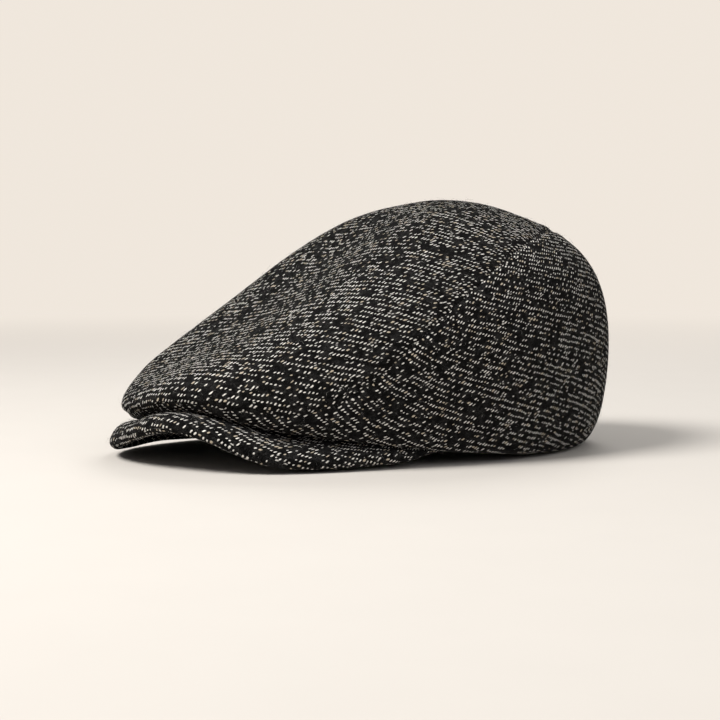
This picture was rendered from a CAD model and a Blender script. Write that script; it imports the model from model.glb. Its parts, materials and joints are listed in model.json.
"""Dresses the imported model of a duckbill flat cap: tweed panels drawn together at sunken
seams, a padded visor, a quilted lining, a sweatband with its stitches, blank labels, loose
wool on the cloth, and a plain stage."""

import json
import math

import bmesh
import bpy
import numpy as np
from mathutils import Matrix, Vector, kdtree, noise

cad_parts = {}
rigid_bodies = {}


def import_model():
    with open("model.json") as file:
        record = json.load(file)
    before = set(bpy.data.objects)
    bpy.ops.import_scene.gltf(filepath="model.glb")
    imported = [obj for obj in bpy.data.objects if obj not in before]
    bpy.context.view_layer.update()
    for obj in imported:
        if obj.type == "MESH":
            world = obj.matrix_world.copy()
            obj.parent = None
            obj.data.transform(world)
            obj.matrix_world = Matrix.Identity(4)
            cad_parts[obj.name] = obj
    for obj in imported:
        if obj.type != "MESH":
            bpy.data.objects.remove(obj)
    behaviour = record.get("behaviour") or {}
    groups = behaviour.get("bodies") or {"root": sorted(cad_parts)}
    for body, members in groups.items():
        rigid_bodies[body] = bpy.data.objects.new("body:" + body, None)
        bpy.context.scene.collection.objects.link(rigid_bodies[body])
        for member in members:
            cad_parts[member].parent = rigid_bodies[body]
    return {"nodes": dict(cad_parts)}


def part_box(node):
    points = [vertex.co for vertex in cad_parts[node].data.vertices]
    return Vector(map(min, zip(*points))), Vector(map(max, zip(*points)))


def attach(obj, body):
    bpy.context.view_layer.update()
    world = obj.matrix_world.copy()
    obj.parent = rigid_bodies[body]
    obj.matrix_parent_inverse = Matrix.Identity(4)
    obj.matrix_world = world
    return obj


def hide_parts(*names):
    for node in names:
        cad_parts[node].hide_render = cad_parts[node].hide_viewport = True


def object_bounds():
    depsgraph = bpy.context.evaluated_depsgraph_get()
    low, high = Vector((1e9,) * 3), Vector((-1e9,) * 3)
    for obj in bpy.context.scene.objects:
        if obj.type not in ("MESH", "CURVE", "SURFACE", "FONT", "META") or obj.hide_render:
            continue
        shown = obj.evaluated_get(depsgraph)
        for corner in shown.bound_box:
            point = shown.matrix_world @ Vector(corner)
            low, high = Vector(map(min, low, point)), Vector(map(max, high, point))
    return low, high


bl_info = {
    "name": "Duckbill cap",
    "version": (1, 0, 0),
    "blender": (4, 5, 0),
    "location": "3D View > Sidebar > Cap",
    "description": "Builds the visible cloth, seams and stage of a duckbill flat cap",
    "category": "Object",
}

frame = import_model()
NODES = frame["nodes"]
CAD_LOW, CAD_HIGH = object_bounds()
MM = 0.001
TINY = 1e-12


# ---- Settings a user would change ----


def length(label, words, value):
    """A length for the sidebar."""
    return bpy.props.FloatProperty(name=label, description=words, default=value, unit="LENGTH")


def colour(label, words, value):
    """A colour for the sidebar."""
    return bpy.props.FloatVectorProperty(
        name=label, description=words, subtype="COLOR", size=3, default=value
    )


class CapSizes(bpy.types.PropertyGroup):
    """Sizes of the cloths, the seams and the loose wool."""

    tweed: length("Tweed thickness", "Thickness of the tweed panels", 1.35 * MM)
    felt: length("Felt thickness", "Thickness of the interlining", 0.5 * MM)
    satin: length("Satin thickness", "Thickness of the lining", 0.4 * MM)
    cotton: length("Cotton thickness", "Thickness of the sweatband", 1.1 * MM)
    label: length("Label thickness", "Thickness of the woven labels", 0.35 * MM)
    seam_depth: length("Seam depth", "How far the tweed turns in at a seam", 0.75 * MM)
    seam_width: length("Seam width", "How far from a seam its hollow reaches", 1.7 * MM)
    seam_puff: length("Seam puff", "How far the tweed swells beside a seam", 0.3 * MM)
    ripple: length("Ripple", "Height of the soft crown's broad unevenness", 0.6 * MM)
    row_pitch: length("Row pitch", "Distance between two rows of pale floats", 3.1 * MM)
    float_pitch: length("Float pitch", "Distance between two floats in a row", 1.64 * MM)
    quilt_pitch: length("Quilt pitch", "Side of a diamond in the quilted lining", 20 * MM)
    quilt_puff: length("Quilt puff", "Height of a diamond over its stitch lines", 1.7 * MM)
    hair_length: length("Hair length", "Length of a typical loose hair", 1.7 * MM)
    hair_count: bpy.props.IntProperty(
        name="Hairs", description="Number of loose wool hairs on the tweed", default=8400
    )


class CapColours(bpy.types.PropertyGroup):
    """Colours of the cloths and the floor."""

    wool: colour("Dark wool", "The tweed's near-black ground", (0.0018, 0.0017, 0.0017))
    grey: colour("Grey wool", "Lighter hairs in the dark ground", (0.024, 0.0235, 0.0235))
    pale: colour("Pale floats", "The off-white floats of the tweed", (0.90, 0.87, 0.815))
    cream: colour("Cream floats", "The few warmer floats", (0.62, 0.53, 0.40))
    lining: colour("Lining", "The satin lining", (0.042, 0.038, 0.035))
    band: colour("Sweatband", "The cotton sweatband", (0.018, 0.017, 0.017))
    label: colour("Label", "The blank woven labels", (0.36, 0.33, 0.28))
    floor: colour("Floor", "The floor near the cap", (0.55, 0.52, 0.485))


def sizes():
    return bpy.context.scene.cap_sizes


def colours():
    return bpy.context.scene.cap_colours


# ---- Working on meshes ----

# A fold sharper than this parts the broad sides of a sheet from its rim.
SHARP = math.radians(70)
RIM_ANGLE = 0.75 * SHARP


def deselect():
    for piece in bpy.context.view_layer.objects:
        piece.select_set(False)


def only(piece):
    """Selects one object alone and makes it active."""
    deselect()
    piece.select_set(True)
    bpy.context.view_layer.objects.active = piece


def new_piece(name, mesh):
    piece = bpy.data.objects.new(name, mesh)
    bpy.context.scene.collection.objects.link(piece)
    only(piece)
    return piece


def vertex_rows(piece, key):
    flat = np.empty(len(piece.data.vertices) * 3)
    piece.data.vertices.foreach_get(key, flat)
    return flat.reshape(-1, 3)


def places(piece):
    return vertex_rows(piece, "co")


def outward(piece):
    return vertex_rows(piece, "normal")


def move_to(piece, points):
    piece.data.vertices.foreach_set("co", np.asarray(points, float).ravel())
    piece.data.update()


def islands(mesh, angle):
    """Groups of face indices that no edge sharper than the angle divides, largest first."""
    bm = bmesh.new()
    bm.from_mesh(mesh)
    bm.faces.ensure_lookup_table()
    seen = set()
    groups = []
    for start in bm.faces:
        if start.index in seen:
            continue
        seen.add(start.index)
        group, stack = [], [start]
        while stack:
            face = stack.pop()
            group.append(face.index)
            for edge in face.edges:
                if len(edge.link_faces) != 2 or edge.calc_face_angle() > angle:
                    continue
                for other in edge.link_faces:
                    if other.index not in seen:
                        seen.add(other.index)
                        stack.append(other)
        area = sum(bm.faces[i].calc_area() for i in group)
        groups.append((area, group))
    bm.free()
    groups.sort(key=lambda entry: -entry[0])
    return [group for area, group in groups]


def cad_copy(node, name):
    """A new object with a merged copy of a CAD node's mesh."""
    mesh = NODES[node].data.copy()
    mesh.name = name
    mesh.materials.clear()
    for layer in list(mesh.uv_layers):
        mesh.uv_layers.remove(layer)
    piece = new_piece(name, mesh)
    bpy.ops.object.mode_set(mode="EDIT")
    bpy.ops.mesh.select_all(action="SELECT")
    bpy.ops.mesh.remove_doubles(threshold=0.005 * MM)
    bpy.ops.mesh.customdata_custom_splitnormals_clear()
    bpy.ops.object.mode_set(mode="OBJECT")
    return piece


def cloth_side(node, name, outer=True):
    """The outer or the inner side of a CAD sheet, as a new object of quads."""
    piece = cad_copy(node, name)
    keep = set(islands(piece.data, SHARP)[0 if outer else 1])
    bm = bmesh.new()
    bm.from_mesh(piece.data)
    gone = [face for face in bm.faces if face.index not in keep]
    bmesh.ops.delete(bm, geom=gone, context="FACES")
    bm.to_mesh(piece.data)
    bm.free()
    only(piece)
    bpy.ops.object.mode_set(mode="EDIT")
    bpy.ops.mesh.select_all(action="SELECT")
    bpy.ops.mesh.tris_convert_to_quads(face_threshold=math.pi, shape_threshold=math.pi)
    bpy.ops.object.mode_set(mode="OBJECT")
    return piece


def modify(piece, kind, **settings):
    """Adds a modifier, sets it and applies it."""
    only(piece)
    bpy.ops.object.modifier_add(type=kind)
    modifier = piece.modifiers[-1]
    for key, value in settings.items():
        setattr(modifier, key, value)
    bpy.ops.object.modifier_apply(modifier=modifier.name)


def refine(piece, levels):
    modify(
        piece,
        "SUBSURF",
        levels=levels,
        render_levels=levels,
        boundary_smooth="PRESERVE_CORNERS",
    )


def smooth(piece):
    only(piece)
    bpy.ops.object.shade_smooth()


def thicken(piece, thickness, rim=0.0):
    """Gives a cloth side its thickness, inwards, and rounds its rim by a width."""
    modify(piece, "SOLIDIFY", thickness=thickness, offset=-1, use_rim=True)
    if rim > 0:
        modify(
            piece,
            "BEVEL",
            width=rim,
            segments=2,
            limit_method="ANGLE",
            angle_limit=RIM_ANGLE,
        )
    smooth(piece)


def border(piece):
    """Indices of the vertices on a mesh's open edges."""
    mesh = piece.data
    used = np.empty(len(mesh.loops), int)
    mesh.loops.foreach_get("edge_index", used)
    uses = np.bincount(used, minlength=len(mesh.edges))
    ends = np.empty(len(mesh.edges) * 2, int)
    mesh.edges.foreach_get("vertices", ends)
    return np.unique(ends.reshape(-1, 2)[uses == 1])


def tree_of(points):
    tree = kdtree.KDTree(len(points))
    for i, point in enumerate(points):
        tree.insert(point, i)
    tree.balance()
    return tree


def wander(point, per_metre, seed=0.0):
    """Smooth noise from -1 to 1 at a place."""
    return noise.noise(Vector(point) * per_metre + Vector((seed, 0.37 * seed, 5.1)))


# ---- Cloth maps: metres of flat cloth, with the rows of the weave along U ----

WEAVE_MAP = "cloth"
FORE_AFT = (0, 1, 0)
ACROSS = (1, 0, 0)
# The rows run round an upright line through the head, this far behind the cap's middle.
HEAD_Y = 7 * MM
# Rows on a side panel sink to the rear, and turn steeper for each metre ahead of the middle,
# up to a limit.
SIDE_TILT = math.radians(15)
TURN_FORWARD = math.radians(500)
TURN_LIMIT = math.radians(50)
# Rows on the top panel leave the cap's length by these angles, at the left and over the
# middle, and turn from one to the other over a run from the left.
LEFT_SLANT = math.radians(48)
MIDDLE_SLANT = math.radians(74)
LEFT_X = 75 * MM
SLANT_RUN = 60 * MM


def loop_owners(mesh):
    """The vertex of each face corner."""
    owner = np.empty(len(mesh.loops), int)
    mesh.loops.foreach_get("vertex_index", owner)
    return owner


def face_shares(side_a, side_b, way):
    """A direction in a face's plane, as shares of two sides of the face."""
    aa, ab, bb = side_a.dot(side_a), side_a.dot(side_b), side_b.dot(side_b)
    wa, wb = way.dot(side_a), way.dot(side_b)
    base = aa * bb - ab * ab
    return (wa * bb - wb * ab) / base, (wb * aa - wa * ab) / base


def lay_flat(piece, grain):
    """Unwraps a cloth side as its flat piece of cloth, at real size. U follows the grain."""
    mesh = piece.data
    mesh.uv_layers.new(name=WEAVE_MAP)
    only(piece)
    bpy.ops.object.mode_set(mode="EDIT")
    bpy.ops.mesh.select_all(action="SELECT")
    bpy.ops.uv.unwrap(method="MINIMUM_STRETCH", margin=0.0)
    bpy.ops.object.mode_set(mode="OBJECT")
    layer = mesh.uv_layers[WEAVE_MAP]
    uv = np.empty(len(mesh.loops) * 2)
    layer.data.foreach_get("uv", uv)
    uv = uv.reshape(-1, 2)
    grain = Vector(grain).normalized()
    solid = flat = turned = 0.0
    along = np.zeros(2)
    for face in mesh.polygons:
        a, b, c = (face.loop_start + k for k in range(3))
        p, q, r = (mesh.vertices[mesh.loops[k].vertex_index].co for k in (a, b, c))
        side_a, side_b = q - p, r - p
        flat_a, flat_b = uv[b] - uv[a], uv[c] - uv[a]
        cross = side_a.cross(side_b)
        flat_cross = flat_a[0] * flat_b[1] - flat_a[1] * flat_b[0]
        if cross.length < TINY or abs(flat_cross) < TINY:
            continue
        solid += cross.length
        flat += abs(flat_cross)
        turned += math.copysign(cross.length, flat_cross)
        in_face = grain - cross * (grain.dot(cross) / cross.length_squared)
        share_a, share_b = face_shares(side_a, side_b, in_face)
        way = share_a * flat_a + share_b * flat_b
        along += cross.length * way / max(np.linalg.norm(way), TINY) * in_face.length
    if turned < 0:
        uv[:, 0] = -uv[:, 0]
        along[0] = -along[0]
    size = math.sqrt(solid / flat)
    angle = math.atan2(along[1], along[0])
    c, s = math.cos(-angle) * size, math.sin(-angle) * size
    uv = uv @ np.array([[c, s], [-s, c]])
    layer.data.foreach_set("uv", uv.ravel())


def in_cloth(normal, way):
    """A direction laid into the plane of the cloth."""
    flat = np.cross(np.cross(normal, way), normal)
    return flat / np.linalg.norm(flat)


def round_visor(normal, centre):
    """The way a row of the weave runs on the visor: level round the head."""
    radial = np.array((centre[0], centre[1] - HEAD_Y, 0.0))
    return in_cloth(normal, np.cross(np.array((0.0, 0.0, 1.0)), radial))


def round_side(normal, centre):
    """The way a row runs on a side panel: round the head, sinking to the rear. A straight
    grain on a curved panel turns steeper towards the panel's front end."""
    row = round_visor(normal, centre)
    turn = min(TURN_LIMIT, max(0.0, -centre[1]) * TURN_FORWARD)
    lean = -(SIDE_TILT + turn) * math.copysign(1.0, centre[0])
    return row * math.cos(lean) + np.cross(normal, row) * math.sin(lean)


def over_top(normal, centre):
    """The way a row runs on the top panel: slanting back from the left, and more nearly
    straight across the cap over the middle."""
    share = min(1.0, max(0.0, (LEFT_X - centre[0]) / SLANT_RUN))
    share *= share * (3 - 2 * share)
    slant = LEFT_SLANT + (MIDDLE_SLANT - LEFT_SLANT) * share
    return in_cloth(normal, np.array((math.sin(slant), math.cos(slant), 0.0)))


def lay_along(piece, way):
    """Maps a cloth side so that its rows run the given way: U goes along them, at real size,
    and V across them. Both follow the wanted directions as nearly as the shape allows."""
    mesh = piece.data
    points = places(piece)
    count = len(points)
    pull = np.zeros((count, count))
    wanted = np.zeros((count, 2))
    for face in mesh.polygons:
        corners = list(face.vertices)
        for k in range(1, len(corners) - 1):
            tri = [corners[0], corners[k], corners[k + 1]]
            p = points[tri]
            normal = np.cross(p[1] - p[0], p[2] - p[0])
            double = np.linalg.norm(normal)
            if double < 1e-14:
                continue
            normal /= double
            row = way(normal, p.mean(0))
            ways = np.array((row, np.cross(normal, row)))
            # How fast each corner's share falls off across the triangle.
            opposite = [p[(i + 2) % 3] - p[(i + 1) % 3] for i in range(3)]
            slopes = np.array([np.cross(normal, side) for side in opposite])
            slopes /= double
            pull[np.ix_(tri, tri)] += double / 2 * slopes @ slopes.T
            wanted[tri] += double / 2 * slopes @ ways.T
    # The small extra pull keeps the map from floating away.
    pull += np.eye(count) * pull.max() * 1e-9
    flat = np.linalg.solve(pull, wanted)
    layer = mesh.uv_layers.new(name=WEAVE_MAP)
    layer.data.foreach_set("uv", flat[loop_owners(mesh)].ravel())


def vertex_map(piece):
    """One place on the flat cloth for each vertex."""
    mesh = piece.data
    uv = np.empty(len(mesh.loops) * 2)
    mesh.uv_layers[WEAVE_MAP].data.foreach_get("uv", uv)
    flat = np.zeros((len(mesh.vertices), 2))
    flat[loop_owners(mesh)] = uv.reshape(-1, 2)
    return flat


# ---- Seams and soft cloth ----

# Edges of two panels no further apart than this are sewn together.
SEWN_GAP = 3 * MM
# In seam widths: where a seam's reach ends, where the swell beside it stands and how broad
# the swell is.
SEAM_REACH = 8
SWELL_AT = 2.8
SWELL_SPREAD = 1.7
# The broad unevenness of soft cloth: share, waves for each metre, seed.
RIPPLES = ((0.62, 22, 2), (0.3, 55, 7), (0.1, 130, 0))


def draw_together(panels, depth, puff):
    """Joins neighbouring panels at the middle of the groove between them, turns their edges
    in by a depth, and swells the cloth beside the seam."""
    width = sizes().seam_width
    start = {piece: places(piece) for piece in panels}
    rims = {piece: border(piece) for piece in panels}
    for piece in panels:
        others = [start[other][rims[other]] for other in panels if other is not piece]
        near = tree_of(np.concatenate(others))
        points, normals = start[piece].copy(), outward(piece)
        sewn, pull = [], []
        for i in rims[piece]:
            partner, _, gap = near.find(points[i])
            if gap < SEWN_GAP:
                sewn.append(i)
                pull.append((np.array(partner) - points[i]) / 2)
        seam = tree_of(points[sewn])
        for i, point in enumerate(start[piece]):
            place, index, far = seam.find(point)
            if far > SEAM_REACH * width:
                continue
            pucker = 1 + 0.45 * wander(place, 95) + 0.3 * wander(place, 240, 3)
            hollow = math.exp(-((far / width) ** 2))
            swell = math.exp(-(((far - SWELL_AT * width) / (SWELL_SPREAD * width)) ** 2))
            points[i] += pull[index] * hollow
            points[i] += normals[i] * (puff * pucker * swell - depth * hollow)
        move_to(piece, points)


def ripple(piece, height):
    """Broad unevenness of soft cloth, the same on both sides of a seam."""
    points, normals = places(piece), outward(piece)
    for i, point in enumerate(points):
        rise = sum(share * wander(point, waves, seed) for share, waves, seed in RIPPLES)
        points[i] += normals[i] * height * rise
    move_to(piece, points)


# ---- Materials ----


class Weaver:
    """Short names for the shader nodes that the cloths are made of."""

    def __init__(self, name):
        self.material = bpy.data.materials.new(name)
        self.material.use_nodes = True
        self.tree = self.material.node_tree
        self.tree.nodes.clear()
        self.out = self.node("ShaderNodeOutputMaterial")
        self.shader = self.node("ShaderNodeBsdfPrincipled")
        self.join(self.shader.outputs[0], self.out.inputs["Surface"])

    def node(self, kind, **settings):
        made = self.tree.nodes.new(kind)
        for key, value in settings.items():
            setattr(made, key, value)
        return made

    def join(self, source, target):
        """Links an output to a socket, or sets the socket to a value."""
        if hasattr(source, "is_output"):
            self.tree.links.new(source, target)
        else:
            target.default_value = source

    def calc(self, operation, a, b=0.0):
        made = self.node("ShaderNodeMath", operation=operation)
        self.join(a, made.inputs[0])
        self.join(b, made.inputs[1])
        return made.outputs[0]

    def add(self, a, b):
        return self.calc("ADD", a, b)

    def sub(self, a, b):
        return self.calc("SUBTRACT", a, b)

    def mul(self, a, b):
        return self.calc("MULTIPLY", a, b)

    def over(self, a, b):
        return self.calc("DIVIDE", a, b)

    def size(self, a):
        return self.calc("ABSOLUTE", a)

    def floor(self, a):
        return self.calc("FLOOR", a)

    def part(self, a):
        return self.calc("FRACT", a)

    def wave(self, a, rate):
        return self.calc("SINE", self.mul(a, rate))

    def ramp(self, value, low, high, out_low=0.0, out_high=1.0):
        """Goes softly from one number to another while a value goes from low to high."""
        made = self.node("ShaderNodeMapRange", interpolation_type="SMOOTHSTEP", clamp=True)
        for socket, number in zip(made.inputs, (value, low, high, out_low, out_high)):
            self.join(number, socket)
        return made.outputs[0]

    def vector(self, x, y, z=0.0):
        made = self.node("ShaderNodeCombineXYZ")
        for socket, value in zip(made.inputs, (x, y, z)):
            self.join(value, socket)
        return made.outputs[0]

    def split(self, vector):
        made = self.node("ShaderNodeSeparateXYZ")
        self.join(vector, made.inputs[0])
        return made.outputs

    def scaled(self, vector, by):
        made = self.node("ShaderNodeVectorMath", operation="MULTIPLY")
        self.join(vector, made.inputs[0])
        made.inputs[1].default_value = by if hasattr(by, "__len__") else (by, by, by)
        return made.outputs[0]

    def plus(self, a, b):
        made = self.node("ShaderNodeVectorMath", operation="ADD")
        self.join(a, made.inputs[0])
        self.join(b, made.inputs[1])
        return made.outputs[0]

    def swayed(self, place, way, reach):
        """A place moved by a noise's colour, by up to half the reach each way."""
        centred = self.plus(way, Vector((-0.5, -0.5, -0.5)))
        return self.plus(place, self.scaled(centred, reach))

    def fog(self, vector, scale, detail=2.0, rough=0.5):
        """Smooth noise from 0 to 1, and its colour."""
        made = self.node("ShaderNodeTexNoise", noise_dimensions="3D")
        self.join(vector, made.inputs["Vector"])
        for key, value in (("Scale", scale), ("Detail", detail), ("Roughness", rough)):
            made.inputs[key].default_value = value
        return made.outputs[0], made.outputs[1]

    def dice(self, vector):
        """A random number and three more for each place."""
        made = self.node("ShaderNodeTexWhiteNoise", noise_dimensions="3D")
        self.join(vector, made.inputs["Vector"])
        return made.outputs["Value"], self.split(made.outputs["Color"])

    def blend(self, share, a, b):
        made = self.node("ShaderNodeMix", data_type="RGBA", clamp_factor=True)
        self.join(share, made.inputs["Factor"])
        for value, socket in ((a, made.inputs[6]), (b, made.inputs[7])):
            self.join(value if hasattr(value, "is_output") else (*value, 1.0), socket)
        return made.outputs[2]

    def cloth_place(self):
        """Millimetres on the flat cloth."""
        made = self.node("ShaderNodeUVMap", uv_map=WEAVE_MAP)
        return self.scaled(made.outputs[0], 1 / MM)

    def object_place(self):
        """Millimetres in the cap's own frame."""
        made = self.node("ShaderNodeTexCoord")
        return self.scaled(made.outputs["Object"], 1 / MM)

    def relief(self, height, distance, strength=0.8):
        made = self.node("ShaderNodeBump")
        made.inputs["Strength"].default_value = strength
        made.inputs["Distance"].default_value = distance
        self.join(height, made.inputs["Height"])
        self.join(made.outputs[0], self.shader.inputs["Normal"])

    def base(self, tone):
        self.join(tone, self.shader.inputs["Base Color"])

    def set(self, **values):
        for key, value in values.items():
            self.shader.inputs[key.replace("_", " ")].default_value = value


def tinted(tone, by):
    return [by * part for part in tone]


# How far a float leans along its row for each millimetre across the row.
FLOAT_SLANT = 0.66
# Half heights and half widths, in millimetres: the main floats, and the smaller ones that
# show between their rows.
MAIN_FLOAT = (0.64, 0.37)
SMALL_FLOAT = (0.50, 0.38)
# A float whose number is over these is a thick slub, or a cream one.
SLUB_FROM = 0.965
CREAM_FROM = 0.87
# The floats get fewer where the noise over a patch of cloth goes from one of these to the other.
PATCH = (0.34, 0.68)
SHADED_FLOAT = (0.30, 0.285, 0.265)
WORN_FLOAT = (0.2, 0.195, 0.19)
SUNKEN_FLOAT = (0.25, 0.245, 0.24)
LYING_HAIR = (0.13, 0.127, 0.124)
DARK_HAIR = (0.03, 0.03, 0.03)


def floats(w, place, size, density, seed):
    """A layer of slanted floats in rows. Gives their mask, their profile and their dice."""
    s = sizes()
    row_pitch, float_pitch = s.row_pitch / MM, s.float_pitch / MM
    half_height, half_width = size
    u, v, _ = w.split(place)
    rows = w.over(v, row_pitch)
    row = w.floor(rows)
    up = w.sub(w.part(rows), 0.5)
    jump, _ = w.dice(w.vector(row, seed, 1.7))
    slide = w.sub(u, w.mul(up, row_pitch * FLOAT_SLANT))
    columns = w.add(w.over(slide, float_pitch), w.mul(jump, 7.0))
    column = w.floor(columns)
    side = w.sub(w.part(columns), 0.5)
    luck, more = w.dice(w.vector(column, row, seed))
    # A float shifts and changes its size a little from its neighbours.
    lift = w.mul(w.sub(more[0], 0.5), 0.26)
    tall = w.ramp(more[1], 0, 1, half_height * 0.62, half_height * 1.3)
    wide = w.ramp(more[2], 0, 1, half_width * 0.8, half_width * 1.12)
    slub = w.calc("GREATER_THAN", more[0], SLUB_FROM)
    wide = w.add(wide, w.mul(slub, half_width * 0.55))
    across = w.over(w.size(w.mul(w.sub(up, lift), row_pitch)), tall)
    along = w.over(w.size(w.mul(side, float_pitch)), wide)
    far = w.add(w.calc("POWER", along, 2.6), w.calc("POWER", across, 3.0))
    # Floats come in runs along a row, broken by chance.
    run, _ = w.fog(w.vector(w.mul(column, 0.37), w.mul(row, 3.71), seed), 1.0, 1.0)
    shown = w.calc("GREATER_THAN", w.add(w.mul(run, 0.6), w.mul(luck, 0.4)), density)
    return w.mul(w.ramp(far, 1.25, 0.45), shown), w.ramp(far, 1.3, 0.0), more, luck


def strands(w, place, scale, detail, rough, width):
    """Fine curled lines, where a noise passes its middle."""
    web, _ = w.fog(place, scale, detail, rough)
    return w.ramp(w.size(w.sub(web, 0.5)), width, 0.0), web


def tweed_material():
    """Near-black wool with rows of off-white floats, grey hairs and a felted surface."""
    s, c = sizes(), colours()
    w = Weaver("flecked_tweed")
    flat = w.cloth_place()
    _, broad = w.fog(flat, 0.045, 2.0)
    _, fine = w.fog(flat, 0.42, 2.0)
    _, frayed = w.fog(flat, 2.6, 2.0)
    bent = w.swayed(flat, broad, (3.0, 3.0, 0))
    bent = w.swayed(bent, fine, (0.55, 0.75, 0))
    bent = w.swayed(bent, frayed, (0.30, 0.34, 0))
    patches, _ = w.fog(flat, 0.06, 3.0, 0.6)
    # Handling has felted the wool over more of the floats along the middle of the crown.
    x, _, z = w.split(w.object_place())
    felted = w.mul(w.ramp(w.size(x), 62, 24), w.ramp(z, 45, 70))
    density = w.add(w.ramp(patches, *PATCH, 0.385, 0.435), w.mul(felted, 0.09))
    pale, swell, more, luck = floats(w, bent, MAIN_FLOAT, density, 0.3)
    shifted = w.plus(bent, Vector((0.4, s.row_pitch / MM / 2, 0)))
    fewer = w.ramp(patches, *PATCH, 0.65, 0.76)
    sunken, small_swell, _, _ = floats(w, shifted, SMALL_FLOAT, fewer, 4.1)
    # Hairs along the floats and hairs that lie across everything.
    u, v, _ = w.split(bent)
    leaning = w.vector(w.mul(w.sub(u, w.mul(v, 0.5)), 3.4), w.mul(v, 0.6), 0.0)
    streak, _ = w.fog(leaning, 1.0, 3.0, 0.65)
    strand, web = strands(w, w.plus(flat, w.scaled(fine, (5.0, 5.0, 0))), 1.05, 4.0, 0.72, 0.018)
    curled = w.plus(flat, w.scaled(broad, (9.0, 4.0, 3.0)))
    strand2, _ = strands(w, curled, 0.62, 4.0, 0.75, 0.013)
    tufts, _ = w.fog(w.plus(flat, Vector((31.0, 17.0, 0))), 0.22, 2.0)
    tuft = w.ramp(tufts, 0.44, 0.62, 0.12, 1.0)
    ground = w.blend(w.ramp(streak, 0.44, 0.74, 0.0, 0.8), tuple(c.wool), tuple(c.grey))
    hairs = w.mul(w.calc("MAXIMUM", strand, strand2), w.mul(tuft, 0.42))
    ground = w.blend(hairs, ground, LYING_HAIR)
    warm = w.calc("GREATER_THAN", more[0], CREAM_FROM)
    yarn = w.blend(warm, tuple(c.pale), tuple(c.cream))
    yarn = w.blend(w.ramp(luck, 0.0, 1.0, 0.0, 0.24), yarn, SHADED_FLOAT)
    yarn = w.blend(w.ramp(streak, 0.46, 0.26, 0.0, 0.5), yarn, WORN_FLOAT)
    cloth = w.blend(pale, ground, yarn)
    cloth = w.blend(w.mul(sunken, 0.85), cloth, w.blend(0.35, yarn, SUNKEN_FLOAT))
    cloth = w.blend(w.mul(strand2, w.mul(pale, 0.55)), cloth, DARK_HAIR)
    w.base(cloth)
    raised = w.add(w.mul(swell, 0.7), w.mul(small_swell, 0.45))
    height = w.add(raised, w.add(w.mul(streak, 0.35), w.mul(web, 0.5)))
    w.relief(height, 0.42 * MM, 0.95)
    w.set(Roughness=1.0, Specular_IOR_Level=0.0, Sheen_Weight=0.015, Sheen_Roughness=0.5)
    return w.material


def hair_material():
    """Loose wool, some hairs dark and some grey."""
    w = Weaver("wool_hair")
    tone, _ = w.fog(w.object_place(), 0.35, 1.0)
    w.base(w.blend(w.ramp(tone, 0.42, 0.62), (0.05, 0.05, 0.052), (0.42, 0.41, 0.39)))
    w.set(Roughness=0.8, Specular_IOR_Level=0.3)
    return w.material


def satin_material():
    """Dark satin, quilted in diamonds, with a row of stitches between them."""
    s, c = sizes(), colours()
    w = Weaver("satin_lining")
    flat = w.cloth_place()
    u, v, _ = w.split(flat)
    pitch = s.quilt_pitch / MM
    stitch_pitch = 2.6
    rows = []
    for sign in (1, -1):
        across = w.over(w.add(u, w.mul(v, sign)), pitch * math.sqrt(2))
        near = w.mul(w.size(w.sub(w.part(w.add(across, 0.5)), 0.5)), pitch)
        along = w.over(w.sub(u, w.mul(v, sign)), stitch_pitch * math.sqrt(2))
        dash = w.ramp(w.size(w.sub(w.part(along), 0.5)), 0.38, 0.3)
        rows.append(w.mul(w.ramp(near, 0.42, 0.2), dash))
    thread = w.calc("MAXIMUM", *rows)
    shine, _ = w.fog(w.scaled(flat, (0.25, 5.0, 1)), 1.0, 2.0)
    twill = w.wave(w.add(w.mul(u, 0.6), v), 16.0)
    tone = w.blend(w.ramp(shine, 0.35, 0.7), tuple(c.lining), tinted(c.lining, 1.5))
    w.base(w.blend(w.mul(thread, 0.8), tone, (0.012, 0.012, 0.012)))
    height = w.add(w.mul(twill, 0.05), w.add(w.mul(shine, 0.2), w.mul(thread, 0.7)))
    w.relief(height, 0.12 * MM, 0.6)
    w.set(Roughness=0.38, Sheen_Weight=0.2, Sheen_Roughness=0.35, Anisotropic=0.45)
    return w.material


def band_material():
    """Brushed cotton with fine upright ribs."""
    c = colours()
    w = Weaver("cotton_band")
    flat = w.cloth_place()
    u, v, _ = w.split(flat)
    hair, _ = w.fog(flat, 1.6, 4.0, 0.7)
    rib = w.wave(w.add(u, w.mul(v, 0.35)), 6.5)
    cross = w.wave(v, 11.0)
    worn, _ = w.fog(flat, 0.05, 3.0)
    tone = w.blend(w.ramp(hair, 0.4, 0.75), tuple(c.band), tinted(c.band, 2.6))
    w.base(w.blend(w.ramp(worn, 0.5, 0.75, 0.0, 0.35), tone, tinted(c.band, 3.2)))
    height = w.add(w.mul(rib, 0.3), w.add(w.mul(cross, 0.15), w.mul(hair, 0.5)))
    w.relief(height, 0.2 * MM)
    w.set(Roughness=0.85, Sheen_Weight=0.3, Sheen_Roughness=0.5)
    return w.material


def label_material():
    """Fine woven label cloth, blank."""
    c = colours()
    w = Weaver("woven_label")
    flat = w.cloth_place()
    u, v, _ = w.split(flat)
    weave = w.mul(w.wave(u, 19.0), w.wave(v, 14.0))
    hair, _ = w.fog(flat, 2.0, 3.0, 0.6)
    tone = w.blend(w.ramp(hair, 0.35, 0.75), tuple(c.label), tinted(c.label, 0.7))
    w.base(w.blend(w.ramp(weave, -0.4, 0.8, 0.0, 0.35), tone, (0.6, 0.57, 0.5)))
    w.relief(w.add(w.mul(weave, 0.4), w.mul(hair, 0.5)), 0.09 * MM)
    w.set(Roughness=0.6, Sheen_Weight=0.2, Sheen_Roughness=0.4)
    return w.material


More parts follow.
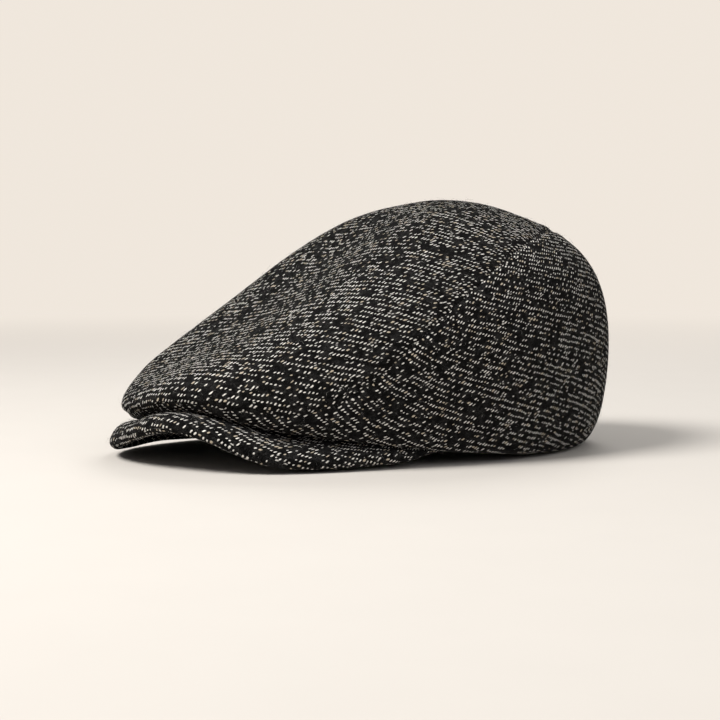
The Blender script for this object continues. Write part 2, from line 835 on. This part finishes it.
def thread_material():
    """Matt black sewing thread, twisted."""
    w = Weaver("sewing_thread")
    place = w.object_place()
    x, y, z = w.split(place)
    twist = w.wave(w.add(w.add(x, y), w.mul(z, 1.4)), 9.0)
    hair, _ = w.fog(place, 3.0, 3.0, 0.7)
    w.base(w.blend(w.ramp(w.add(w.mul(twist, 0.25), hair), 0.3, 0.9), (0.012,) * 3, (0.07,) * 3))
    w.relief(w.add(w.mul(twist, 0.5), hair), 0.08 * MM)
    w.set(Roughness=0.7, Sheen_Weight=0.3)
    return w.material


def inner_material(name, dark, light, scale, depth):
    """Felt, wadding or board: a fibrous surface in two tones."""
    w = Weaver(name)
    place = w.object_place()
    fibre, _ = w.fog(place, scale, 5.0, 0.75)
    clump, _ = w.fog(place, scale * 0.12, 2.0)
    mixed = w.add(w.mul(fibre, 0.6), w.mul(clump, 0.4))
    w.base(w.blend(w.ramp(mixed, 0.35, 0.65), dark, light))
    w.relief(w.add(fibre, w.mul(clump, 0.5)), depth)
    w.set(Roughness=0.95, Sheen_Weight=0.2)
    return w.material


def shared(name, build):
    """The material of that name, built once."""
    return bpy.data.materials.get(name) or build()


def wear(piece, material):
    """Gives a piece its material and its slot in the record, and lets it ride on the cap."""
    piece.data.materials.clear()
    piece.data.materials.append(material)
    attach(piece, "root")


# ---- Crown and visor ----

# The visor thins from below towards its ends: where along the cap that starts, the length
# over which it grows, the height under which it works, and the share by which what is
# lower comes up to that height.
TUCK_START = -28 * MM
TUCK_RUN = 20 * MM
TUCK_HEIGHT = 9 * MM
TUCK_SHARE = 0.55


def crown_panels():
    """Top panel and both side panels of tweed, drawn together at their seams."""
    s = sizes()
    cut = {
        "top_panel": ("tweed_top", (0.210, 0.278), 0.0441),
        "side_panel_left": ("tweed_side_left", (0.352, 0.157), 0.0300),
        "side_panel_right": ("tweed_side_right", (0.352, 0.157), 0.0300),
    }
    panels = []
    for node, (name, flat, area) in cut.items():
        piece = cloth_side(node, name)
        lay_along(piece, over_top if node == "top_panel" else round_side)
        refine(piece, 3)
        panels.append(piece)
    draw_together(panels, s.seam_depth, s.seam_puff)
    for piece, (node, (name, flat, area)) in zip(panels, cut.items()):
        ripple(piece, s.ripple)
        thicken(piece, s.tweed)
        wear(piece, shared("flecked_tweed", tweed_material))
        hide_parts(node)


def tuck_ends(piece):
    """Thins the visor towards its two ends, where it runs out under the crown."""
    points = places(piece)
    near = np.clip((points[:, 1] - TUCK_START) / TUCK_RUN, 0, 1)
    near *= near * (3 - 2 * near)
    points[:, 2] += near * TUCK_SHARE * np.maximum(0, TUCK_HEIGHT - points[:, 2])
    move_to(piece, points)


def visor_covers():
    """The visor's top and under covers of tweed, joined under the rolled edge."""
    s = sizes()
    cut = {
        "visor_top_cover": ("tweed_visor_top", (0.326, 0.066), 0.0131),
        "visor_under_cover": ("tweed_visor_under", (0.302, 0.051), 0.0093),
    }
    covers = []
    for node, (name, flat, area) in cut.items():
        piece = cloth_side(node, name)
        lay_along(piece, round_visor)
        refine(piece, 3)
        covers.append(piece)
    draw_together(covers, s.seam_depth, s.seam_puff)
    for piece, (node, (name, flat, area)) in zip(covers, cut.items()):
        tuck_ends(piece)
        ripple(piece, 0.6 * s.ripple)
        thicken(piece, 0.9 * s.tweed)
        wear(piece, shared("flecked_tweed", tweed_material))
        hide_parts(node)


def visor_filling():
    """The wadding and the board inside the visor."""
    wadding = cad_copy("visor_padding", "visor_wadding")
    refine(wadding, 2)
    ripple(wadding, 0.2 * MM)
    smooth(wadding)
    fluff = inner_material("wadding", (0.55, 0.53, 0.48), (0.8, 0.78, 0.73), 1.2, 0.4 * MM)
    wear(wadding, fluff)
    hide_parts("visor_padding")
    board = NODES["visor_board"]
    pulp = inner_material("board", (0.30, 0.22, 0.14), (0.48, 0.37, 0.25), 2.5, 0.05 * MM)
    board.data.materials.clear()
    board.data.materials.append(pulp)


# ---- Inside of the cap ----


def interlining():
    """Felted interlining between the tweed and the lining, and the seam tape."""
    felt = inner_material("felt", (0.45, 0.43, 0.39), (0.68, 0.66, 0.6), 1.6, 0.12 * MM)
    cut = {
        "top_interlining": ("felt_top", (0.200, 0.269), 0.0409),
        "side_interlining_left": ("felt_side_left", (0.343, 0.144), 0.0263),
        "side_interlining_right": ("felt_side_right", (0.343, 0.144), 0.0263),
    }
    for node, (name, flat, area) in cut.items():
        piece = cloth_side(node, name)
        refine(piece, 1)
        thicken(piece, sizes().felt)
        wear(piece, felt)
        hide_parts(node)
    tape = cad_copy("crown_seam_tape", "seam_tape")
    only(tape)
    bpy.ops.object.shade_smooth_by_angle(angle=math.radians(50))
    wear(tape, shared("cotton_band", band_material))
    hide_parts("crown_seam_tape")


def quilt(piece):
    """Raises the lining's diamonds towards the head."""
    s = sizes()
    flat = vertex_map(piece) / (s.quilt_pitch * math.sqrt(2))
    points, normals = places(piece), outward(piece)
    for i, (u, v) in enumerate(flat):
        diamond = math.sin(math.pi * (u + v)) * math.sin(math.pi * (u - v))
        slack = 0.35 * wander(points[i], 45, 4)
        points[i] += normals[i] * s.quilt_puff * (abs(diamond) ** 0.55 + slack)
    move_to(piece, points)


def lining():
    """The quilted satin lining, one top piece and two side pieces."""
    cut = {
        "lining_top": ("satin_top", (0.204, 0.271), 0.0422),
        "lining_side_left": ("satin_side_left", (0.350, 0.144), 0.0268),
        "lining_side_right": ("satin_side_right", (0.350, 0.144), 0.0268),
    }
    panels = []
    for node, (name, flat, area) in cut.items():
        piece = cloth_side(node, name, outer=False)
        lay_flat(piece, FORE_AFT)
        refine(piece, 2)
        panels.append(piece)
    draw_together(panels, 0.3 * MM, 0.4 * MM)
    for piece, (node, (name, flat, area)) in zip(panels, cut.items()):
        quilt(piece)
        thicken(piece, sizes().satin)
        wear(piece, shared("satin_lining", satin_material))
        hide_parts(node)


def band_map(piece):
    """Lays a band flat: U runs round the head and V up."""
    mesh = piece.data
    layer = mesh.uv_layers.new(name=WEAVE_MAP)
    low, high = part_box("sweatband")
    middle = (low + high) / 2
    radius = (high.x - low.x + high.y - low.y) / 4
    for loop in mesh.loops:
        place = mesh.vertices[loop.vertex_index].co
        turn = math.atan2(place.x, -(place.y - middle.y))
        layer.data[loop.index].uv = (turn * radius, place.z)


def sweatband():
    """The cotton sweatband, a little wavy between its turned edges."""
    piece = cloth_side("sweatband", "cotton_sweatband", outer=False)
    refine(piece, 3)
    points, normals = places(piece), outward(piece)
    rim = tree_of(points[border(piece)])
    for i, point in enumerate(points):
        _, _, far = rim.find(point)
        roll = 0.5 * MM * math.exp(-((far / (1.2 * MM)) ** 2))
        loose = wander(point, 38, 6) * 0.9 * MM * min(1.0, far / (8 * MM))
        points[i] += normals[i] * (loose - roll)
    move_to(piece, points)
    band_map(piece)
    thicken(piece, sizes().cotton, rim=0.3 * MM)
    wear(piece, shared("cotton_band", band_material))
    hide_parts("sweatband")


def labels():
    """The blank label on the lining and the blank size tab on the sweatband."""
    for node, name, flat, area, push in (
        ("lining_label", "lining_tag", (0.040, 0.021), 0.00066, 2.6 * MM),
        ("size_tab", "sweatband_tag", (0.018, 0.014), 0.00025, 0.5 * MM),
    ):
        piece = cloth_side(node, name, outer=False)
        lay_flat(piece, ACROSS)
        refine(piece, 3)
        points, normals = places(piece), outward(piece)
        rim = tree_of(points[border(piece)])
        for i, point in enumerate(points):
            _, _, far = rim.find(point)
            fold = 0.25 * MM * math.exp(-((far - 1.5 * MM) / (0.8 * MM)) ** 2)
            points[i] += normals[i] * (push + fold + 0.3 * MM * wander(point, 90, 2))
        move_to(piece, points)
        thicken(piece, sizes().label)
        wear(piece, shared("woven_label", label_material))
        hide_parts(node)


# ---- Stitches and threads ----

STITCH_LENGTH = 4.2 * MM
STITCH_RADIUS = 0.38 * MM
# How far a stitch stands off the sweatband.
STITCH_RISE = 0.1 * MM
# How far under the outside of the tweed a seam's thread lies.
THREAD_DEPTH = 1.25 * MM
EDGE_THREAD_DEPTH = 1.0 * MM
# Height of the twist that a thread shows.
THREAD_TWIST = 0.12 * MM


def stitch_shape():
    """One stitch: a plump strand whose ends dip into the cloth, along X with Z up."""
    deselect()
    bpy.ops.mesh.primitive_uv_sphere_add(segments=8, ring_count=7, radius=1.0)
    strand = bpy.context.active_object
    points = places(strand)[:, [2, 0, 1]]
    along = points[:, 0]
    points = points * np.array([STITCH_LENGTH / 2, STITCH_RADIUS, STITCH_RADIUS * 0.8])
    points[:, 2] -= STITCH_RADIUS * 1.1 * np.abs(along) ** 3
    faces = [list(face.vertices) for face in strand.data.polygons]
    bpy.data.objects.remove(strand)
    return points, faces


def sew(name, marks):
    """Places a copy of one stitch at each mark: (middle, direction, out of the cloth)."""
    points, faces = stitch_shape()
    every, all_faces = [], []
    for middle, along, out in marks:
        x = Vector(along).normalized()
        y = Vector(out).cross(x).normalized()
        turn = np.array([x, y, x.cross(y)])
        first = len(every) * len(points)
        all_faces += [[first + i for i in face] for face in faces]
        every.append(points @ turn + np.array(middle))
    mesh = bpy.data.meshes.new(name)
    mesh.from_pydata(np.concatenate(every).tolist(), [], all_faces)
    piece = new_piece(name, mesh)
    smooth(piece)
    return piece


def stitch_marks(node, cloth):
    """A mark for each separate solid of a CAD node, on the surface of a cloth."""
    copy = cad_copy(node, "scratch")
    surface = tree_of(places(cloth))
    normals = outward(cloth)
    points = places(copy)
    marks = []
    for group in islands(copy.data, math.pi):
        used = sorted({v for i in group for v in copy.data.polygons[i].vertices})
        cloud = points[used]
        middle = cloud.mean(0)
        _, axes = np.linalg.eigh(np.cov((cloud - middle).T))
        place, index, _ = surface.find(middle)
        out = normals[index]
        marks.append((np.array(place) + out * STITCH_RISE, axes[:, -1], out))
    bpy.data.objects.remove(copy)
    return marks


def band_stitches():
    """The row of stitches round the sweatband."""
    marks = stitch_marks("sweatband_thread", bpy.data.objects["cotton_sweatband"])
    piece = sew("sweatband_stitches", marks)
    wear(piece, shared("sewing_thread", thread_material))
    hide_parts("sweatband_thread")


def seam_threads():
    """The seams' threads, which lie under the hollows, in the CAD threads' places."""
    names = ("tweed_top", "tweed_side_left", "tweed_side_right", "tweed_visor_top")
    skin = [bpy.data.objects[name] for name in names]
    tree = tree_of(np.concatenate([places(panel) for panel in skin]))
    facing = np.concatenate([outward(panel) for panel in skin])
    for node, name, depth in (
        ("crown_seam_thread", "crown_seam_stitches", THREAD_DEPTH),
        ("back_seam_thread", "back_seam_stitches", THREAD_DEPTH),
        ("front_seam_thread", "front_seam_stitches", THREAD_DEPTH),
        ("visor_edge_thread", "visor_edge_stitches", EDGE_THREAD_DEPTH),
        ("visor_seam_thread", "visor_seam_stitches", 0.0),
    ):
        thread = cad_copy(node, name)
        refine(thread, 1)
        points, normals = places(thread), outward(thread)
        for i, point in enumerate(points):
            _, index, _ = tree.find(point)
            points[i] -= facing[index] * depth
        for i, point in enumerate(points):
            points[i] += normals[i] * THREAD_TWIST * wander(point, 700)
        move_to(thread, points)
        smooth(thread)
        wear(thread, shared("sewing_thread", thread_material))
        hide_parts(node)


# ---- Loose wool ----

HAIR_RINGS = 4
HAIR_SIDES = 3
CROWN_MIDDLE = np.array((0.0, 0.01, 0.05))


def hair_roots():
    """Middles, normals and areas of the tweed's outer faces."""
    middles, normals, areas = [], [], []
    for name in ("tweed_top", "tweed_side_left", "tweed_side_right", "tweed_visor_top"):
        for face in bpy.data.objects[name].data.polygons:
            middle, normal = np.array(face.center), np.array(face.normal)
            if np.dot(normal, CROWN_MIDDLE - middle) > 0 and "visor" not in name:
                continue
            middles.append(middle)
            normals.append(normal)
            areas.append(face.area)
    return np.array(middles), np.array(normals), np.array(areas)


def hair_points(draw, root, out):
    """The rings of one hair: it leaves the cloth, bends over and gets thinner."""
    along = np.cross(out, draw.normal(size=3))
    along /= np.linalg.norm(along)
    across = np.cross(out, along)
    reach = sizes().hair_length * draw.gamma(3.0, 0.33)
    rise = draw.uniform(0.12, 0.75)
    curl = draw.normal(0, 0.9)
    hook = draw.normal(0, 0.5)
    radius = draw.uniform(0.035, 0.06) * MM
    start = root - out * 0.15 * MM + draw.normal(0, 0.5 * MM, 3) * (1 - np.abs(out))
    points = []
    for j in range(HAIR_RINGS):
        t = j / (HAIR_RINGS - 1)
        way = along * math.cos(curl * t * t) + across * math.sin(curl * t * t)
        lying = way * (1 - rise * (1 - t))
        standing = out * rise * (1 + hook * t) * (1 - 0.4 * t)
        middle = start + reach * t * (lying + standing)
        thin = radius * (1 - 0.6 * t)
        for m in range(HAIR_SIDES):
            angle = 2 * math.pi * m / HAIR_SIDES
            points.append(middle + thin * (across * math.cos(angle) + out * math.sin(angle)))
    return points


def hair_faces(first):
    """The faces of one hair whose points start at an index."""
    faces = []
    for j in range(HAIR_RINGS - 1):
        ring = first + j * HAIR_SIDES
        for m in range(HAIR_SIDES):
            a, b = ring + m, ring + (m + 1) % HAIR_SIDES
            faces.append((a, b, b + HAIR_SIDES, a + HAIR_SIDES))
    tip = first + (HAIR_RINGS - 1) * HAIR_SIDES
    faces.append(tuple(first + m for m in reversed(range(HAIR_SIDES))))
    faces.append(tuple(tip + m for m in range(HAIR_SIDES)))
    return faces


def wool_hairs():
    """Loose hairs that stand off the tweed, each a thin bent prism."""
    draw = np.random.default_rng(7)
    middles, normals, areas = hair_roots()
    chosen = draw.choice(len(middles), size=sizes().hair_count, p=areas / areas.sum())
    points, faces = [], []
    for k in chosen:
        faces += hair_faces(len(points))
        points += hair_points(draw, middles[k], normals[k])
    points = np.array(points)
    points[:, 2] = np.maximum(points[:, 2], CAD_LOW.z + 0.05 * MM)
    mesh = bpy.data.meshes.new("loose_wool")
    mesh.from_pydata(points.tolist(), [], faces)
    piece = new_piece("loose_wool", mesh)
    smooth(piece)
    wear(piece, shared("wool_hair", hair_material))


# ---- Stage ----

# The camera looks at a point over the middle of the cap's foot, from the left and ahead.
LOOK_AT = Vector((0, 0, 0.067))
AROUND = math.radians(30)
ABOVE = math.radians(3)
DISTANCE = 1.0
LENS = 92.8
SENSOR = 36
LENS_SHIFT = (-0.0139, -0.05)
FLOOR_SIZE = 60.0
FLOOR_GAP = 0.05 * MM
# The floor turns into the backdrop's colour between these distances from the cap.
FADE = (0.3, 1.6)
BACKDROP = (0.87, 0.80, 0.72, 1)
SKY_LIGHT = (1.0, 0.98, 0.96, 1)
SKY_STRENGTH = 0.3
# Each lamp: name, place, what it points at, width, power in watts, colour.
LAMPS = (
    ("key", (-0.05, -1.05, 1.35), (0, 0, 0.05), 0.8, 40, (1, 0.98, 0.95)),
    ("rim", (-0.8, 0.9, 1.2), (0, 0, 0.08), 0.8, 12, (1, 0.99, 0.97)),
    ("fill", (1.3, 0.3, 0.8), (0, 0, 0.05), 1.3, 6, (0.98, 0.99, 1)),
)


def set_camera():
    """A long lens, level with the cap's foot but for a few degrees."""
    back = Vector(
        (
            math.cos(AROUND) * math.cos(ABOVE),
            -math.sin(AROUND) * math.cos(ABOVE),
            math.sin(ABOVE),
        )
    )
    lens = bpy.data.cameras.new("camera")
    lens.lens, lens.sensor_width = LENS, SENSOR
    lens.shift_x, lens.shift_y = LENS_SHIFT
    camera = bpy.data.objects.new("camera", lens)
    bpy.context.scene.collection.objects.link(camera)
    camera.location = LOOK_AT + back * DISTANCE
    camera.rotation_mode = "QUATERNION"
    camera.rotation_quaternion = back.to_track_quat("Z", "Y")
    bpy.context.scene.camera = camera


def lay_floor():
    """A wide pale floor that keeps the cap's shadow and fades into the backdrop's colour."""
    deselect()
    level = CAD_LOW.z - FLOOR_GAP
    bpy.ops.mesh.primitive_plane_add(size=FLOOR_SIZE, location=(0, 0, level))
    floor = bpy.context.active_object
    floor.name = "floor"
    pale = colours().floor
    w = Weaver("floor")
    place = w.object_place()
    grain, _ = w.fog(place, 0.02, 3.0)
    w.base(w.blend(grain, tinted(pale, 0.97), tuple(pale)))
    w.set(Roughness=0.9, Specular_IOR_Level=0.2)
    x, y, _ = w.split(w.scaled(place, MM))
    far = w.calc("SQRT", w.add(w.mul(x, x), w.mul(y, y)))
    rays = w.node("ShaderNodeLightPath")
    seen = w.calc("MAXIMUM", rays.outputs["Is Camera Ray"], rays.outputs["Is Transmission Ray"])
    glow = w.node("ShaderNodeEmission")
    glow.inputs["Color"].default_value = BACKDROP
    mix = w.node("ShaderNodeMixShader")
    w.join(w.mul(w.ramp(far, *FADE), seen), mix.inputs[0])
    w.join(w.shader.outputs[0], mix.inputs[1])
    w.join(glow.outputs[0], mix.inputs[2])
    w.join(mix.outputs[0], w.out.inputs["Surface"])
    floor.data.materials.append(w.material)


def light_world():
    """Soft light from all round, with the backdrop's colour where the camera sees it."""
    world = bpy.data.worlds.new("studio")
    world.use_nodes = True
    bpy.context.scene.world = world
    tree = world.node_tree
    tree.nodes.clear()
    out = tree.nodes.new("ShaderNodeOutputWorld")
    seen = tree.nodes.new("ShaderNodeBackground")
    light = tree.nodes.new("ShaderNodeBackground")
    mix = tree.nodes.new("ShaderNodeMixShader")
    rays = tree.nodes.new("ShaderNodeLightPath")
    plain = tree.nodes.new("ShaderNodeMath")
    plain.operation = "MAXIMUM"
    seen.inputs["Color"].default_value = BACKDROP
    seen.inputs["Strength"].default_value = 1.0
    light.inputs["Color"].default_value = SKY_LIGHT
    light.inputs["Strength"].default_value = SKY_STRENGTH
    tree.links.new(rays.outputs["Is Camera Ray"], plain.inputs[0])
    tree.links.new(rays.outputs["Is Transmission Ray"], plain.inputs[1])
    tree.links.new(plain.outputs[0], mix.inputs[0])
    tree.links.new(light.outputs[0], mix.inputs[1])
    tree.links.new(seen.outputs[0], mix.inputs[2])
    tree.links.new(mix.outputs[0], out.inputs[0])


def hang_lamp(name, place, target, width, power, tone):
    """A round lamp that points at a target."""
    data = bpy.data.lights.new(name, "AREA")
    data.shape = "DISK"
    data.size = width
    data.energy = power
    data.color = tone
    lamp = bpy.data.objects.new(name, data)
    bpy.context.scene.collection.objects.link(lamp)
    lamp.location = place
    lamp.rotation_mode = "QUATERNION"
    lamp.rotation_quaternion = (Vector(target) - Vector(place)).to_track_quat("-Z", "Y")


def stage():
    """The camera, a pale floor, a pale backdrop and soft studio light."""
    bpy.context.scene.view_settings.view_transform = "Standard"
    set_camera()
    lay_floor()
    light_world()
    for entry in LAMPS:
        hang_lamp(*entry)


# ---- Operators, panel and registration ----


class CAP_OT_stage(bpy.types.Operator):
    """Set the camera, floor and studio light"""

    bl_idname = "cap.stage"
    bl_label = "Stage"

    def execute(self, context):
        stage()
        return {"FINISHED"}


class CAP_OT_crown(bpy.types.Operator):
    """Make the tweed crown panels"""

    bl_idname = "cap.crown"
    bl_label = "Crown panels"

    def execute(self, context):
        crown_panels()
        return {"FINISHED"}


class CAP_OT_visor(bpy.types.Operator):
    """Make the visor's tweed covers"""

    bl_idname = "cap.visor"
    bl_label = "Visor covers"

    def execute(self, context):
        visor_covers()
        return {"FINISHED"}


class CAP_OT_filling(bpy.types.Operator):
    """Make the visor's wadding and give its board a material"""

    bl_idname = "cap.filling"
    bl_label = "Visor filling"

    def execute(self, context):
        visor_filling()
        return {"FINISHED"}


class CAP_OT_interlining(bpy.types.Operator):
    """Make the felt layers and the seam tape"""

    bl_idname = "cap.interlining"
    bl_label = "Interlining"

    def execute(self, context):
        interlining()
        return {"FINISHED"}


class CAP_OT_lining(bpy.types.Operator):
    """Make the quilted satin lining"""

    bl_idname = "cap.lining"
    bl_label = "Lining"

    def execute(self, context):
        lining()
        return {"FINISHED"}


class CAP_OT_sweatband(bpy.types.Operator):
    """Make the cotton sweatband"""

    bl_idname = "cap.sweatband"
    bl_label = "Sweatband"

    def execute(self, context):
        sweatband()
        return {"FINISHED"}


class CAP_OT_stitches(bpy.types.Operator):
    """Sew the row of stitches round the sweatband"""

    bl_idname = "cap.stitches"
    bl_label = "Sweatband stitches"

    def execute(self, context):
        band_stitches()
        return {"FINISHED"}


class CAP_OT_threads(bpy.types.Operator):
    """Make the threads in the seams"""

    bl_idname = "cap.threads"
    bl_label = "Seam threads"

    def execute(self, context):
        seam_threads()
        return {"FINISHED"}


class CAP_OT_labels(bpy.types.Operator):
    """Make the blank labels"""

    bl_idname = "cap.labels"
    bl_label = "Labels"

    def execute(self, context):
        labels()
        return {"FINISHED"}


class CAP_OT_hairs(bpy.types.Operator):
    """Scatter loose hairs on the tweed"""

    bl_idname = "cap.hairs"
    bl_label = "Loose wool"

    def execute(self, context):
        wool_hairs()
        return {"FINISHED"}


OPERATORS = (
    CAP_OT_stage,
    CAP_OT_crown,
    CAP_OT_visor,
    CAP_OT_filling,
    CAP_OT_interlining,
    CAP_OT_lining,
    CAP_OT_sweatband,
    CAP_OT_stitches,
    CAP_OT_threads,
    CAP_OT_labels,
    CAP_OT_hairs,
)


class CAP_PT_build(bpy.types.Panel):
    """Lists the settings and the pieces of the cap"""

    bl_idname = "CAP_PT_build"
    bl_label = "Duckbill cap"
    bl_space_type = "VIEW_3D"
    bl_region_type = "UI"
    bl_category = "Cap"

    def draw(self, context):
        for group in (context.scene.cap_sizes, context.scene.cap_colours):
            for key in group.__annotations__:
                self.layout.prop(group, key)
        for operator in OPERATORS:
            self.layout.operator(operator.bl_idname)


CLASSES = (CapSizes, CapColours, *OPERATORS, CAP_PT_build)


def register():
    for cls in CLASSES:
        bpy.utils.register_class(cls)
    bpy.types.Scene.cap_sizes = bpy.props.PointerProperty(type=CapSizes)
    bpy.types.Scene.cap_colours = bpy.props.PointerProperty(type=CapColours)


def unregister():
    del bpy.types.Scene.cap_colours
    del bpy.types.Scene.cap_sizes
    for cls in reversed(CLASSES):
        bpy.utils.unregister_class(cls)


def main():
    register()
    bpy.ops.cap.stage()
    bpy.ops.cap.crown()
    bpy.ops.cap.visor()
    bpy.ops.cap.filling()
    bpy.ops.cap.interlining()
    bpy.ops.cap.lining()
    bpy.ops.cap.sweatband()
    bpy.ops.cap.stitches()
    bpy.ops.cap.threads()
    bpy.ops.cap.labels()
    bpy.ops.cap.hairs()


if __name__ == "__main__":
    main()
